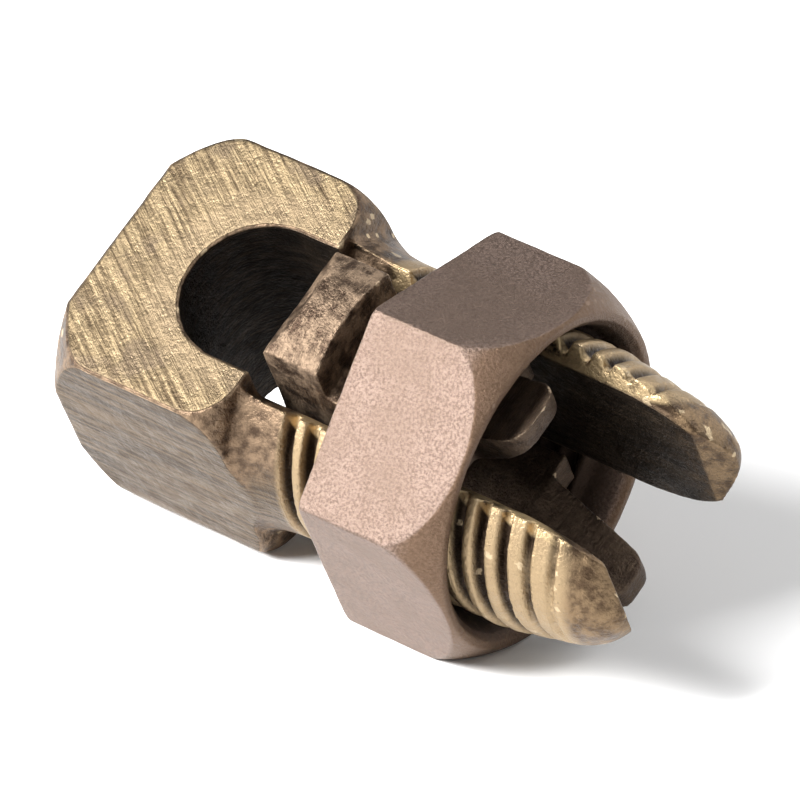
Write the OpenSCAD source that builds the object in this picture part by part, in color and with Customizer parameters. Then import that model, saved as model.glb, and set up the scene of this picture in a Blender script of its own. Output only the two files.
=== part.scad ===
// Split bolt connector: a slotted bolt body, a hexagon nut and a pressure bar.
// Each piece is drawn about the bolt's axis, with the head's end face at x = 0,
// the legs to either side of the slot at +y and -y, and the slot open along z.
// The assembly then lies on one flat of its nut, with the axis level along +X.

/* [Head] */
// Width of the head across the slot
head_w = 21.5; // [19.5:0.1:23]
// Thickness of the head along the slot
head_t = 18.6; // [17:0.1:19.5]
// Distance from the end face to the tips of the two prongs
head_len = 15.5; // [15:0.1:17]
// Length along the axis that the crowned end chamfer takes
end_chamfer_len = 4.4; // [3:0.1:5]
// Radius of the end face inside the crowned chamfer
end_face_r = 11.2; // [10.8:0.1:12]
// Radius that the four long corners of the head are turned to
head_corner_r = 14.1; // [13.9:0.05:14.2]
// Length along the axis of the rounding behind the two prongs
prong_round_len = 3.3; // [2:0.1:4]
// Radius of the body at the tips of the two prongs
prong_tip_r = 11.5; // [11.2:0.1:12]
// Radius of the two long edges that rest near the ground
lower_edge_r = 2.2; // [1.9:0.1:3]

/* [Slot] */
// Width of the slot, which takes the largest conductor
slot_w = 11.2; // [10.4:0.1:11.6]
// Distance from the end face to the bottom of the slot
web_t = 6.65; // [6:0.05:7.5]

/* [Legs] */
// Major diameter of the thread on the legs
thread_d = 21; // [20.4:0.1:21.2]
// Depth of the thread
thread_depth = 0.9; // [0.7:0.05:1]
// Overall length of the bolt body
bolt_len = 46; // [44:0.5:50]
// Length of the rounded nose at the tip of the legs
nose_len = 5.5; // [4:0.1:6]
// Radius of the legs' outside where the rounded nose begins
nose_r = 9.75; // [9.4:0.05:10]
// Length of the taper that leads from the thread to the nose
taper_len = 4.5; // [3:0.1:6]
// Distance from the end face to the start of the thread
thread_start = 19; // [18.4:0.1:19.4]
// Radius that the corners of the tips are rounded to, seen from the side
tip_round = 7; // [3:0.5:8]
// Length of the flare between the tips of the legs
tip_flare_len = 1.9; // [1:0.1:3]
// Width of the bevel on the long inner edges of the legs
leg_bevel = 1.2; // [0.6:0.1:1.6]
// Depth of the bevel along the slot
leg_bevel_depth = 1.75; // [1:0.05:2.2]

/* [Nut] */
// Width of the nut across its flats
nut_af = 25.4; // [25:0.1:27]
// Thickness of the nut
nut_t = 11; // [10:0.1:12]
// Distance from the head's end face to the back of the nut
nut_x = 23.7; // [23:0.1:26]
// Diameter of the flat ring on the front of the nut
nut_face_d = 25; // [24:0.1:25.2]
// Radius of the crown that the front corners are turned to
nut_crown_r = 7.5; // [5:0.1:9]
// Diameter of the mouth of the hollow in the nut's front
hollow_d = 22.8; // [22:0.1:23.2]
// Depth of the hollow in the nut's front
hollow_depth = 3; // [1.5:0.1:3.5]
// Depth of the easing round the mouth of the hollow
mouth_ease = 0.5; // [0.2:0.05:0.8]
// Radial clearance between the nut's bore and the thread crests
thread_clearance = 0.08; // [0.02:0.01:0.1]

/* [Pressure bar] */
// Width of the bar across the slot
bar_w = 9.4; // [8.6:0.1:10]
// Thickness of the bar along the bolt's axis
bar_t = 4.9; // [4:0.1:5.6]
// Length of the bar over its domed ends
bar_len = 24.6; // [23.8:0.1:25]
// Distance from the head's end face to the front of the bar
bar_x = 16.2; // [15.8:0.1:17]
// Radius of the bar's domed ends
bar_end_r = 9; // [8:0.1:12]
// Size of the bevel on the front edge of both ends
bar_bevel = 1.6; // [0.8:0.1:2]
// Thickness of each arm that runs through the nut
arm_t = 3; // [2:0.1:3.4]
// Radial clearance between the arms and the thread's root circle
arm_clearance = 0.35; // [0.2:0.05:0.6]
// Width of the two lugs that hold the nut
lug_w = 6; // [5:0.1:7]
// Thickness of the lugs at their tips
lug_t = 2.2; // [1.4:0.1:2.6]
// Angle at which the lugs are spread from the axis
lug_angle = 30; // [20:1:35]
// Width of the upper lug at its tip
upper_lug_tip_w = 5.6; // [4:0.1:6]
// Width of the lower lug at its tip
lower_lug_tip_w = 4.2; // [3:0.1:6]
// Reach of the upper lug beyond the front of the nut
upper_lug_reach = 1.8; // [1.2:0.1:4]
// Reach of the lower lug beyond the front of the nut
lower_lug_reach = 4.8; // [3:0.1:6]
// Gap between the arms' shoulders and the nut's front face
shoulder_gap = 2.8; // [2:0.1:3.4]

/* [Hidden] */
$fn = 96;

// Angle at which the connector lies, with one flat of the nut on the ground
lie_angle = 30;
// Width from the slot to the outer edge of the tip of each leg
tip_land = 1.5;
// Width that the flare takes from the inside of each tip
tip_flare = 1.4;
// Overshoot that keeps cutting shapes clear of the faces that they cut
over = 1;

slot_r = slot_w / 2;
slot_centre_x = web_t + slot_r;
thread_r = thread_d / 2;
root_r = thread_r - thread_depth;
nose_start = bolt_len - nose_len;
tip_r = slot_r + tip_land;
bore_r = thread_r + thread_clearance;
hollow_r = hollow_d / 2;
nut_front_x = nut_x + nut_t;
bar_back_x = bar_x + bar_t;

// Puts a shape drawn about the bolt's axis where the connector lies.
module lie()
{
    translate([-bolt_len / 2, 0, nut_af / 2])
        rotate([lie_angle, 0, 0])
            children();
}

// Turns a profile of [distance along the axis, radius] points about the axis.
module turned(profile)
{
    rotate([0, 90, 0])
        rotate_extrude($fn = 128)
            polygon([for (p = profile) [p[1], p[0]]]);
}

// Points of an arc in the plane of a profile, from one angle to another.
function arc(centre, r, from, to, steps) =
    [for (i = [0:steps]) let (a = from + (to - from) * i / steps) centre + r * [cos(a), sin(a)]];

// The blank seen along the axis, with the two lower edges rounded.
module blank_section()
{
    half_w = head_w / 2;
    half_t = head_t / 2;
    r = lower_edge_r;
    polygon(concat(
        [[half_w, half_t], [-half_w, half_t]],
        arc([-half_w + r, -half_t + r], r, 180, 270, 8),
        arc([half_w - r, -half_t + r], r, 270, 360, 8)
    ));
}

// Turned envelope: crowned end, turned corners, shoulder, legs and nose.
module bolt_envelope()
{
    steps = 10;
    crown_rise = head_corner_r - end_face_r;
    prong_drop = head_corner_r - prong_tip_r;
    prong_start = head_len - prong_round_len;
    // The shoulder runs from the prongs down to the thread in a hollow curve.
    shoulder_drop = prong_tip_r - thread_r;
    shoulder_len = thread_start - head_len;
    turned(concat(
        [[0, 0], [0, end_face_r]],
        [for (i = [1:steps])
            [end_chamfer_len * i / steps, end_face_r + crown_rise * sin(90 * i / steps)]],
        [for (i = [0:steps])
            let (a = 90 * i / steps)
            [prong_start + prong_round_len * sin(a), prong_tip_r + prong_drop * cos(a)]],
        [for (i = [1:steps])
            let (a = 90 * i / steps)
            [head_len + shoulder_len * (1 - cos(a)), prong_tip_r - shoulder_drop * sin(a)]],
        [[nose_start - taper_len, thread_r]],
        [for (i = [0:steps])
            let (a = 90 * i / steps)
            [nose_start + nose_len * sin(a), tip_r + (nose_r - tip_r) * cos(a)]],
        [[bolt_len, 0]]
    ));
}

// The blank seen from the side, with the legs' tips rounded.
module tip_outline()
{
    half_t = head_t / 2;
    corner_x = bolt_len - tip_round;
    translate([0, head_w, 0])
        rotate([90, 0, 0])
            linear_extrude(height = 2 * head_w)
                polygon(concat(
                    [[-over, half_t + over], [-over, -half_t - over], [nut_x, -half_t - over], [nut_x, -half_t]],
                    arc([corner_x, -half_t + tip_round], tip_round, 270, 360, 12),
                    arc([corner_x, half_t - tip_round], tip_round, 0, 90, 12),
                    [[nut_x, half_t], [nut_x, half_t + over]]
                ));
}

// Slot with a round bottom, open to the tips of the legs, where it flares.
module slot_cut()
{
    translate([slot_centre_x, 0, -head_t])
        cylinder(r = slot_r, h = 2 * head_t);
    translate([slot_centre_x, -slot_r, -head_t])
        cube([bolt_len - slot_centre_x + over, slot_w, 2 * head_t]);
    flare_x = bolt_len - tip_flare_len;
    flare_slope = tip_flare / tip_flare_len;
    mouth_y = slot_r + tip_flare + over * flare_slope;
    translate([0, 0, -head_t])
        linear_extrude(height = 2 * head_t)
            polygon([
                [flare_x - over, 0],
                [flare_x, slot_r],
                [bolt_len + over, mouth_y],
                [bolt_len + over, -mouth_y],
                [flare_x, -slot_r]
            ]);
}

// Long bevels on the legs' inner edges, from the head's prongs to the tips.
module leg_bevels()
{
    half_chord = sqrt(thread_r * thread_r - slot_r * slot_r);
    top_z = sqrt(pow(thread_r, 2) - pow(slot_r + leg_bevel, 2));
    for (side_y = [-1, 1])
        for (side_z = [-1, 1])
            translate([head_len, 0, 0])
                rotate([90, 0, 90])
                    linear_extrude(height = bolt_len - head_len + over)
                        polygon([
                            [side_y * (slot_r - over), side_z * (top_z - leg_bevel_depth)],
                            [side_y * slot_r, side_z * (top_z - leg_bevel_depth)],
                            [side_y * (slot_r + leg_bevel), side_z * top_z],
                            [side_y * (slot_r + leg_bevel), side_z * (half_chord + over)],
                            [side_y * (slot_r - over), side_z * (half_chord + over)]
                        ]);
}

module bolt_body()
{
    color([0.62, 0.50, 0.34])
        lie()
            difference()
            {
                intersection()
                {
                    bolt_envelope();
                    rotate([90, 0, 90])
                        linear_extrude(height = bolt_len + over)
                            blank_section();
                    tip_outline();
                }
                slot_cut();
                leg_bevels();
            }
}

// Hexagon nut with turned front corners, a plain bore and a hollow in its front.
module hex_nut()
{
    corner_r = nut_af / sqrt(3);
    face_r = nut_face_d / 2;
    // The crown is an arc that runs out just above the blank's corners.
    crown_centre_r = corner_r + 0.2 - nut_crown_r;
    crown_angle = asin((face_r - crown_centre_r) / nut_crown_r);
    crown_centre_x = nut_front_x - nut_crown_r * cos(crown_angle);
    back_ease = 0.5;
    bore_ease = 0.7;
    color([0.50, 0.39, 0.32])
        lie()
            difference()
            {
                intersection()
                {
                    translate([nut_x, 0, 0])
                        rotate([0, 90, 0])
                            cylinder(r = corner_r, h = nut_t, $fn = 6);
                    turned(concat(
                        [[nut_x, 0], [nut_x, corner_r - back_ease], [nut_x + back_ease, corner_r + over]],
                        [[crown_centre_x, corner_r + over]],
                        [for (i = [0:10])
                            let (a = crown_angle + (90 - crown_angle) * (10 - i) / 10)
                            [crown_centre_x + nut_crown_r * cos(a), crown_centre_r + nut_crown_r * sin(a)]],
                        [[nut_front_x, 0]]
                    ));
                }
                translate([nut_x - over, 0, 0])
                    rotate([0, 90, 0])
                        cylinder(r = bore_r, h = nut_t + 2 * over);
                turned([
                    [nut_front_x - hollow_depth, 0],
                    [nut_front_x - hollow_depth, bore_r],
                    [nut_front_x - mouth_ease, hollow_r],
                    [nut_front_x, hollow_r + mouth_ease],
                    [nut_front_x + over, hollow_r + mouth_ease],
                    [nut_front_x + over, 0]
                ]);
                turned([
                    [nut_x - over, 0],
                    [nut_x - over, bore_r + bore_ease + over],
                    [nut_x + bore_ease, bore_r],
                    [nut_x + bore_ease, 0]
                ]);
            }
}

// One arm through the nut, ending in a narrower lug spread outwards.
module arm(reach, tip_w)
{
    out_z = sqrt(pow(root_r - arm_clearance, 2) - pow(bar_w / 2, 2));
    in_z = out_z - arm_t;
    shoulder_x = nut_front_x - shoulder_gap;
    tip_x = nut_front_x + reach;
    tip_in_z = in_z + (tip_x - shoulder_x) * tan(lug_angle);
    tip_corner_r = tip_w * 0.35;
    translate([0, bar_w / 2, 0])
        rotate([90, 0, 0])
            linear_extrude(height = bar_w)
                polygon([
                    [bar_back_x - over, in_z],
                    [shoulder_x, in_z],
                    [shoulder_x, out_z],
                    [bar_back_x - over, out_z]
                ]);
    intersection()
    {
        translate([0, lug_w / 2, 0])
            rotate([90, 0, 0])
                linear_extrude(height = lug_w)
                    polygon([
                        [shoulder_x - over, in_z],
                        [shoulder_x, in_z],
                        [tip_x, tip_in_z],
                        [tip_x, tip_in_z + lug_t],
                        [shoulder_x, out_z],
                        [shoulder_x - over, out_z]
                    ]);
        linear_extrude(height = thread_d)
            polygon(concat(
                [[shoulder_x - over, -lug_w / 2]],
                arc([tip_x - tip_corner_r, -tip_w / 2 + tip_corner_r], tip_corner_r, 270, 360, 6),
                arc([tip_x - tip_corner_r, tip_w / 2 - tip_corner_r], tip_corner_r, 0, 90, 6),
                [[shoulder_x - over, lug_w / 2]]
            ));
    }
}

// Pressure bar: a thick plate across the slot with domed ends and two arms.
module pressure_bar()
{
    half_len = bar_len / 2;
    color([0.58, 0.46, 0.32])
        lie()
        {
            intersection()
            {
                translate([bar_x, 0, 0])
                    rotate([90, 0, 90])
                        linear_extrude(height = bar_t)
                            bar_outline();
                translate([0, bar_w, 0])
                    rotate([90, 0, 0])
                        linear_extrude(height = 2 * bar_w)
                            polygon([
                                [bar_x, -half_len + bar_bevel],
                                [bar_x + bar_bevel, -half_len],
                                [bar_back_x, -half_len],
                                [bar_back_x, half_len],
                                [bar_x + bar_bevel, half_len],
                                [bar_x, half_len - bar_bevel]
                            ]);
            }
            arm(upper_lug_reach, upper_lug_tip_w);
            mirror([0, 0, 1])
                arm(lower_lug_reach, lower_lug_tip_w);
        }
}

// The bar seen along the bolt's axis: straight sides and domed ends.
module bar_outline()
{
    half_w = bar_w / 2;
    half_len = bar_len / 2;
    sweep = asin(half_w / bar_end_r);
    polygon(concat(
        arc([0, half_len - bar_end_r], bar_end_r, 90 - sweep, 90 + sweep, 12),
        arc([0, -half_len + bar_end_r], bar_end_r, 270 - sweep, 270 + sweep, 12)
    ));
}

bolt_body();
hex_nut();
pressure_bar();
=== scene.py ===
import math

import bpy
from mathutils import Matrix, Vector


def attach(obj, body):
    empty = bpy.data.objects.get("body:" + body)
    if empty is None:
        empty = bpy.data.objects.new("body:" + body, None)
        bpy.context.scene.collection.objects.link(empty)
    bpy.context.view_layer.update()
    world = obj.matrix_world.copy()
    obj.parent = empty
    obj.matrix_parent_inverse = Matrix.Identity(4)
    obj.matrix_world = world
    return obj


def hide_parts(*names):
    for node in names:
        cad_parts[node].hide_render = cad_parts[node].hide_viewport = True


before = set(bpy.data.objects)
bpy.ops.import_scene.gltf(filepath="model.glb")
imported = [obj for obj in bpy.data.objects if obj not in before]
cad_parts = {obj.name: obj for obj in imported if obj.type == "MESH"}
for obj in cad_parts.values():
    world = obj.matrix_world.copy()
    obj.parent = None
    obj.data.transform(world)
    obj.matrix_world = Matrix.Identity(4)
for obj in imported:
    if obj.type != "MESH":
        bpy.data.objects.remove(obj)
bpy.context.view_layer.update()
scene = bpy.context.scene

# ---------------------------------------------------------------- split bolt body
# One bronze casting: a squared head with a U-shaped slot for the conductors and two legs.
# The outside is turned, a right-hand thread is cut on the legs, and the top flat is
# ground with a coarse wheel. Wear has polished its edges and the rest has gone brown.

# From the row frame in metres to the bolt's own axis in millimetres, and back.
LAID = Matrix.Translation((-0.023, 0, 0.0127)) @ Matrix.Rotation(math.radians(30), 4, "X")
TO_ROW = LAID @ Matrix.Scale(0.001, 4)
TO_AXIS = TO_ROW.inverted()
THREAD_PITCH = 1.814
THREAD_ROOT_R = 8.9
THREAD_START_X = 19.35
THREAD_TURNS = 14
STEPS_A_TURN = 72
WELD = 0.002


def pick(piece):
    """Selects one piece alone and makes it the active one."""
    bpy.ops.object.select_all(action="DESELECT")
    piece.select_set(True)
    bpy.context.view_layer.objects.active = piece


def solid_of(node, name):
    """A welded copy of a piece's solid, on the bolt's axis in millimetres."""
    piece = bpy.data.objects.new(name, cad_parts[node].data.copy())
    scene.collection.objects.link(piece)
    piece.data.transform(TO_AXIS)
    piece.data.materials.clear()
    pick(piece)
    bpy.ops.object.mode_set(mode="EDIT")
    bpy.ops.mesh.select_all(action="SELECT")
    bpy.ops.mesh.remove_doubles(threshold=WELD)
    bpy.ops.object.mode_set(mode="OBJECT")
    return piece


def helix(name, section, turns, start_x):
    """A closed helical bar of that section, [along the axis, radius] points."""
    bpy.ops.object.select_all(action="DESELECT")
    bpy.ops.mesh.primitive_circle_add(vertices=len(section), radius=1)
    bar = bpy.context.object
    bar.name = name
    for vertex, (along, r) in zip(bar.data.vertices, section):
        vertex.co = (start_x + along, 0, r)
    screw = bar.modifiers.new("screw", "SCREW")
    screw.axis = "X"
    screw.angle = math.tau
    screw.screw_offset = THREAD_PITCH
    screw.iterations = turns
    screw.steps = screw.render_steps = STEPS_A_TURN
    bpy.ops.object.modifier_apply(modifier="screw")
    bpy.ops.object.mode_set(mode="EDIT")
    bpy.ops.mesh.select_all(action="DESELECT")
    bpy.ops.mesh.select_mode(type="EDGE")
    bpy.ops.mesh.select_non_manifold()
    bpy.ops.mesh.fill_holes(sides=len(section))
    bpy.ops.mesh.select_all(action="SELECT")
    bpy.ops.mesh.normals_make_consistent(inside=False)
    bpy.ops.object.mode_set(mode="OBJECT")
    return bar


def weather(piece, voxel, passes, dents, limit=190000, draw_in=None):
    """Rounds the edges as wear does, sinks shallow dents and lays the piece down."""
    pick(piece)
    skin = piece.modifiers.new("skin", "REMESH")
    skin.mode = "VOXEL"
    skin.voxel_size = voxel
    bpy.ops.object.modifier_apply(modifier="skin")
    ease = piece.modifiers.new("ease", "SMOOTH")
    ease.factor = 0.5
    ease.iterations = passes
    bpy.ops.object.modifier_apply(modifier="ease")
    grain = bpy.data.textures.new(piece.name + "_dents", "CLOUDS")
    grain.noise_scale = 2.2
    grain.noise_depth = 3
    dent = piece.modifiers.new("dent", "DISPLACE")
    dent.texture = grain
    dent.texture_coords = "LOCAL"
    dent.mid_level = 1
    dent.strength = dents
    bpy.ops.object.modifier_apply(modifier="dent")
    faces = 2 * len(piece.data.polygons)
    if faces > limit:
        thin = piece.modifiers.new("thin", "DECIMATE")
        thin.ratio = limit / faces
        bpy.ops.object.modifier_apply(modifier="thin")
    if draw_in:
        for vertex in piece.data.vertices:
            vertex.co.z *= draw_in(vertex.co.x)
    piece.data.transform(TO_ROW)
    for face in piece.data.polygons:
        face.use_smooth = True


class Finish:
    """One metal finish, built from nodes on the bolt's own axis in millimetres."""

    def __init__(self, name):
        self.material = bpy.data.materials.new(name)
        self.material.use_nodes = True
        self.tree = self.material.node_tree
        self.shader = self.tree.nodes["Principled BSDF"]
        self.coords = self.tree.nodes.new("ShaderNodeTexCoord")
        to_axis = {"Location": TO_AXIS.translation, "Rotation": TO_AXIS.to_euler(), "Scale": (1000, 1000, 1000)}
        centre = self.node("ShaderNodeMapping", to_axis, Vector=self.coords.outputs["Object"])
        self.place = centre.outputs[0]
        split = self.node("ShaderNodeSeparateXYZ", {}, Vector=self.place)
        self.x, self.y, self.z = split.outputs
        ring = self.node("ShaderNodeCombineXYZ", {}, Y=self.y, Z=self.z)
        self.r = self.node("ShaderNodeVectorMath", {}, "LENGTH", Vector=ring.outputs[0]).outputs["Value"]

    def node(self, kind, values, operation=None, **links):
        """A node with its fixed values, its operation and what is linked to its inputs."""
        made = self.tree.nodes.new(kind)
        if operation:
            made.operation = operation
        for key, value in values.items():
            made.inputs[key].default_value = value
        for key, source in links.items():
            self.tree.links.new(source, made.inputs[key])
        return made

    def maths(self, operation, a, b=None):
        made = self.tree.nodes.new("ShaderNodeMath")
        made.operation = operation
        for socket, value in zip(made.inputs, (a, b)):
            if value is None:
                continue
            if isinstance(value, (int, float)):
                socket.default_value = value
            else:
                self.tree.links.new(value, socket)
        return made.outputs[0]

    def step(self, value, low, high, start=0.0, end=1.0):
        """Goes smoothly from start to end as the value goes from low to high."""
        span = {"From Min": low, "From Max": high, "To Min": start, "To Max": end}
        made = self.node("ShaderNodeMapRange", span, Value=value)
        made.interpolation_type = "SMOOTHSTEP"
        return made.outputs[0]

    # The pattern may be turned, and stretched along its own axes.
    def noise(self, scale, detail=4.0, stretch=(1, 1, 1), turn=(0, 0, 0), rough=0.55):
        turned = self.node("ShaderNodeMapping", {"Rotation": turn}, Vector=self.place)
        made = self.node("ShaderNodeMapping", {"Scale": stretch}, Vector=turned.outputs[0])
        return self.node("ShaderNodeTexNoise", {"Scale": scale, "Detail": detail, "Roughness": rough},
                         Vector=made.outputs[0]).outputs[0]

    def facing(self, normal, low, high):
        """How far the surface faces that way, on the piece itself."""
        made = self.node("ShaderNodeVectorMath", {1: normal}, "DOT_PRODUCT")
        self.tree.links.new(self.coords.outputs["Normal"], made.inputs[0])
        return self.step(made.outputs["Value"], low, high)

    def mix(self, amount, base, over):
        made = self.tree.nodes.new("ShaderNodeMix")
        made.data_type = "RGBA"
        for socket, value in ((made.inputs[0], amount), (made.inputs[6], base), (made.inputs[7], over)):
            if isinstance(value, tuple):
                socket.default_value = value + (1,)
            elif isinstance(value, (int, float)):
                socket.default_value = value
            else:
                self.tree.links.new(value, socket)
        return made.outputs[2]

    def edges(self, low, high):
        """The worn, raised edges."""
        shape = self.tree.nodes.new("ShaderNodeNewGeometry")
        return self.step(shape.outputs["Pointiness"], low, high)

    def done(self, colour, roughness, height, depth, metal):
        self.tree.links.new(colour, self.shader.inputs["Base Color"])
        self.tree.links.new(roughness, self.shader.inputs["Roughness"])
        bump = self.node("ShaderNodeBump", {"Strength": 1.0, "Distance": depth}, Height=height)
        self.tree.links.new(bump.outputs[0], self.shader.inputs["Normal"])
        self.shader.inputs["Metallic"].default_value = metal
        return self.material


bolt = solid_of("bolt_body", "split_bolt")
cutter = helix("thread_cutter", [(0, THREAD_ROOT_R), (0.62, 10.75), (-0.62, 10.75)], THREAD_TURNS, THREAD_START_X)
pick(bolt)
cut = bolt.modifiers.new("thread", "BOOLEAN")
cut.object = cutter
cut.operation = "DIFFERENCE"
cut.solver = "EXACT"
bpy.ops.object.modifier_apply(modifier="thread")
bpy.data.objects.remove(cutter)


BOLT_LENGTH = 46
DRAWN_FROM_X = 37.5
DRAWN_LENGTH = 8.9


def tip_height(x):
    """How far the tips of the legs are drawn in towards their middle height."""
    past = max(0, min(x, BOLT_LENGTH) - DRAWN_FROM_X)
    return math.sqrt(1 - (past / DRAWN_LENGTH) ** 2)


weather(bolt, 0.19, 2, 0.10, 199000, tip_height)

f = Finish("aged_bolt_bronze")
patches = f.noise(0.22, 5)
mottle = f.noise(0.9, 6, rough=0.65)
speckle = f.noise(4.5, 3)
ground = f.noise(1.0, 5, (3.6, 0.16, 1), (0, 0, math.radians(-56)), 0.7)
milled = f.noise(1.0, 4, (0.12, 1, 4.5), rough=0.7)
flat = f.facing((0, -0.5, 0.866), 0.90, 0.985)
side = f.facing((0, -0.866, -0.5), 0.90, 0.985)
brown = f.mix(f.step(mottle, 0.35, 0.68), (0.055, 0.034, 0.021), (0.22, 0.15, 0.095))
brass = f.mix(f.step(ground, 0.36, 0.62), (0.095, 0.066, 0.037), (0.30, 0.225, 0.13))
brass = f.mix(f.step(patches, 0.50, 0.62, 0, 0.65), brass, (0.12, 0.087, 0.058))
grey = f.mix(f.step(milled, 0.38, 0.66), (0.05, 0.036, 0.025), (0.15, 0.108, 0.07))
rim_x = f.maths("SUBTRACT", f.x, 12.25)
rim_place = f.node("ShaderNodeCombineXYZ", {}, X=rim_x, Y=f.y).outputs[0]
from_slot = f.node("ShaderNodeVectorMath", {}, "LENGTH", Vector=rim_place).outputs["Value"]
from_slot = f.maths("ADD", from_slot, f.maths("MULTIPLY", patches, 5.0))
rubbed = f.step(from_slot, 11.2, 9.6)
brass = f.mix(f.maths("MULTIPLY", rubbed, 0.7), brass, f.mix(mottle, (0.10, 0.07, 0.042), (0.36, 0.27, 0.165)))
colour = f.mix(side, brown, grey)
colour = f.mix(flat, colour, brass)
on_legs = f.step(f.x, 18.6, 19.4)
full_r = f.maths("ADD", f.r, f.step(f.x, 36.0, 44.0, 0, 1.3))
outside = f.step(full_r, 9.0, 9.4)
crest = f.step(full_r, 9.75, 10.3)
gold = f.mix(crest, (0.030, 0.018, 0.010), (0.31, 0.225, 0.13))
threaded = f.maths("MULTIPLY", f.maths("MULTIPLY", on_legs, outside), f.step(f.x, 44.0, 42.2))
colour = f.mix(threaded, colour, gold)
nose = f.mix(f.step(mottle, 0.35, 0.62), (0.07, 0.043, 0.024), (0.20, 0.135, 0.076))
colour = f.mix(f.step(f.x, 42.0, 43.2), colour, nose)
across = f.maths("ABSOLUTE", f.y)
along = f.maths("ABSOLUTE", f.z)
bevel = f.maths("MULTIPLY", f.maths("MULTIPLY", f.step(across, 5.62, 5.75), f.step(across, 7.0, 6.8)), on_legs)
bevel = f.maths("MULTIPLY", f.maths("MULTIPLY", bevel, f.step(along, 5.9, 6.3)), f.step(f.x, 44.0, 43.0))
colour = f.mix(f.maths("MULTIPLY", bevel, f.step(mottle, 0.3, 0.5)), colour, (0.40, 0.295, 0.165))
# Painted shade: the inside of the slot is painted near black, with faint lines along it, where shade falls deep
# between the legs.
in_slot = f.maths("MULTIPLY", f.step(across, 5.75, 5.6), f.step(f.x, 6.3, 6.6))
in_slot = f.maths("MULTIPLY", in_slot, f.step(along, 9.15, 9.0))
lines = f.noise(1.0, 3, (0.10, 1, 5.0))
painted_slot_shade = f.mix(f.step(lines, 0.4, 0.7), (0.012, 0.009, 0.007), (0.05, 0.036, 0.026))
colour = f.mix(in_slot, colour, painted_slot_shade)
plain = f.maths("MAXIMUM", f.maths("MAXIMUM", f.facing((0, -0.5, 0.866), 0.985, 0.998), in_slot),
                f.facing((0, -0.866, -0.5), 0.985, 0.998))
worn = f.maths("MULTIPLY", f.edges(0.53, 0.60), f.maths("SUBTRACT", 0.8, plain))
colour = f.mix(worn, colour, (0.50, 0.39, 0.25))
colour = f.mix(f.step(speckle, 0.62, 0.74, 0, 0.5), colour, (0.07, 0.05, 0.035))
roughness = f.step(mottle, 0.3, 0.75, 0.36, 0.58)
grooves = f.maths("MULTIPLY", f.maths("MAXIMUM", flat, f.maths("MULTIPLY", side, 0.6)), ground)
height = f.maths("ADD", f.maths("MULTIPLY", speckle, 0.45), f.maths("ADD", mottle, grooves))
bolt.data.materials.append(f.done(colour, roughness, height, 0.00016, 0.85))
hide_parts("bolt_body")
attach(bolt, "bolt")

# ---------------------------------------------------------------- pressure bar
# A stamped bronze bar that lies across the slot and is driven against the conductors.
# Its two arms pass through the nut, and their ends are spread so that the nut can't
# come off the bar. Its edges are rubbed bright.
bar = solid_of("pressure_bar", "clamping_bar")
weather(bar, 0.15, 12, 0.16)
f = Finish("aged_bar_bronze")
mottle = f.noise(0.8, 7, rough=0.68)
fine = f.noise(5.0, 3)
drawn = f.noise(1.0, 4, (3.2, 0.5, 1), rough=0.7)
colour = f.mix(f.step(mottle, 0.38, 0.64), (0.06, 0.037, 0.024), (0.26, 0.185, 0.125))
colour = f.mix(f.step(drawn, 0.5, 0.75, 0, 0.6), colour, (0.36, 0.26, 0.175))
colour = f.mix(f.step(fine, 0.56, 0.72, 0, 0.7), colour, (0.08, 0.052, 0.034))
# Painted shade: the arms are painted darker from where they go into the nut, where shade falls inside its bore.
colour = f.mix(f.step(f.x, 22.5, 24.5, 0, 0.75), colour, (0.06, 0.04, 0.028))
colour = f.mix(f.maths("MULTIPLY", f.edges(0.525, 0.59), 0.85), colour, (0.62, 0.48, 0.33))
height = f.maths("ADD", f.maths("MULTIPLY", fine, 0.6), f.maths("ADD", mottle, drawn))
bar.data.materials.append(f.done(colour, f.step(mottle, 0.3, 0.7, 0.34, 0.58), height, 0.00018, 0.85))
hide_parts("pressure_bar")
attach(bar, "bar")

# ---------------------------------------------------------------- hexagon nut
# A bronze hexagon nut, sand blasted all over, with its front corners turned to a crown.
# Its thread runs on the legs of the bolt and draws the bar towards the head.
nut = solid_of("hex_nut", "clamping_nut")
NUT_THREAD_X = 24.5
NUT_THREAD_TURNS = 4
ridge_section = [(-0.80, 10.95), (-0.80, 10.72), (-0.22, 10.0), (0.22, 10.0), (0.80, 10.72), (0.80, 10.95)]
in_step = (THREAD_START_X - NUT_THREAD_X) % THREAD_PITCH
ridge = helix("nut_thread", ridge_section, NUT_THREAD_TURNS, NUT_THREAD_X + in_step)
pick(nut)
ridge.select_set(True)
bpy.ops.object.join()
weather(nut, 0.17, 3, 0.07)
f = Finish("blasted_nut_bronze")
cloud = f.noise(0.16, 5)
sand = f.noise(5.0, 4, rough=0.7)
pores = f.noise(2.6, 6, rough=0.75)
colour = f.mix(f.step(sand, 0.34, 0.66), (0.115, 0.078, 0.060), (0.245, 0.178, 0.145))
colour = f.mix(f.step(cloud, 0.42, 0.62, 0, 0.5), colour, (0.155, 0.108, 0.082))
colour = f.mix(f.step(pores, 0.60, 0.72, 0, 0.6), colour, (0.06, 0.038, 0.028))
# Painted shade: the bore and its thread ridge are painted near black, where shade falls inside the nut.
colour = f.mix(f.step(f.r, 11.6, 10.8, 0, 0.9), colour, (0.035, 0.022, 0.015))
crown = f.maths("MULTIPLY", f.facing((1, 0, 0), 0.25, 0.5), f.step(f.r, 11.3, 11.8))
colour = f.mix(f.maths("MULTIPLY", crown, 0.75), colour, f.mix(sand, (0.06, 0.034, 0.02), (0.19, 0.115, 0.065)))
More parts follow.
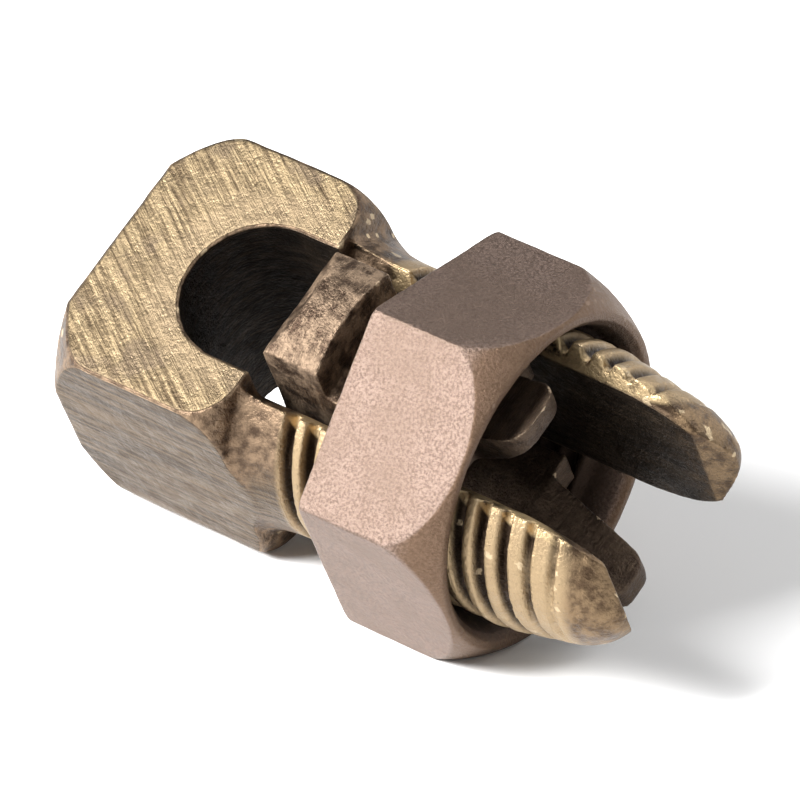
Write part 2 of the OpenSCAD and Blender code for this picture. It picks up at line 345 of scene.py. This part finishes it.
colour = f.mix(f.maths("MULTIPLY", f.edges(0.57, 0.66), 0.3), colour, (0.42, 0.31, 0.235))
height = f.maths("ADD", sand, f.maths("MULTIPLY", pores, 0.7))
nut.data.materials.append(f.done(colour, f.step(sand, 0.3, 0.7, 0.34, 0.46), height, 0.00010, 0.9))
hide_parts("hex_nut")
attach(nut, "nut")

# ---------------------------------------------------------------- table, light and camera
# The connector lies on a plain white table, lit by a soft room and two square lamps.
# A long lens looks down on it from in front and to the right.
bpy.ops.object.select_all(action="DESELECT")
bpy.ops.mesh.primitive_plane_add(size=6)
floor = bpy.context.object
floor.name = "table_top"
paper = bpy.data.materials.new("white_table")
paper.use_nodes = True
paper.node_tree.nodes["Principled BSDF"].inputs["Base Color"].default_value = (0.9, 0.9, 0.9, 1)
paper.node_tree.nodes["Principled BSDF"].inputs["Roughness"].default_value = 0.9
floor.data.materials.append(paper)

world = bpy.data.worlds.new("soft_room")
world.use_nodes = True
scene.world = world
air = world.node_tree.nodes["Background"]
air.inputs["Color"].default_value = (1, 1, 1, 1)
air.inputs["Strength"].default_value = 0.32


def lamp(name, towards, distance, size, power):
    """A square soft lamp that stands in that direction and looks at the connector."""
    light = bpy.data.lights.new(name, "AREA")
    light.size = size
    light.energy = power
    holder = bpy.data.objects.new(name, light)
    scene.collection.objects.link(holder)
    way = Vector(towards).normalized()
    holder.location = Vector((0, 0, 0.0127)) + way * distance
    holder.rotation_euler = way.to_track_quat("Z", "Y").to_euler()


lamp("front_lamp", (-0.44, -0.70, 0.58), 0.6, 0.24, 13.0)
lamp("back_lamp", (0.30, 0.75, 0.60), 0.7, 0.40, 3.0)

lens = bpy.data.cameras.new("camera")
lens.lens = 365.3
lens.sensor_width = 36
lens.clip_start = 0.01
camera = bpy.data.objects.new("camera", lens)
camera.matrix_world = Matrix((
    (0.8061, -0.3584, 0.4709, 0.2653),
    (0.5871, 0.3838, -0.7128, -0.4034),
    (0.0748, 0.8511, 0.5197, 0.30805),
    (0, 0, 0, 1),
))
scene.collection.objects.link(camera)
scene.camera = camera
scene.view_settings.view_transform = "Standard"
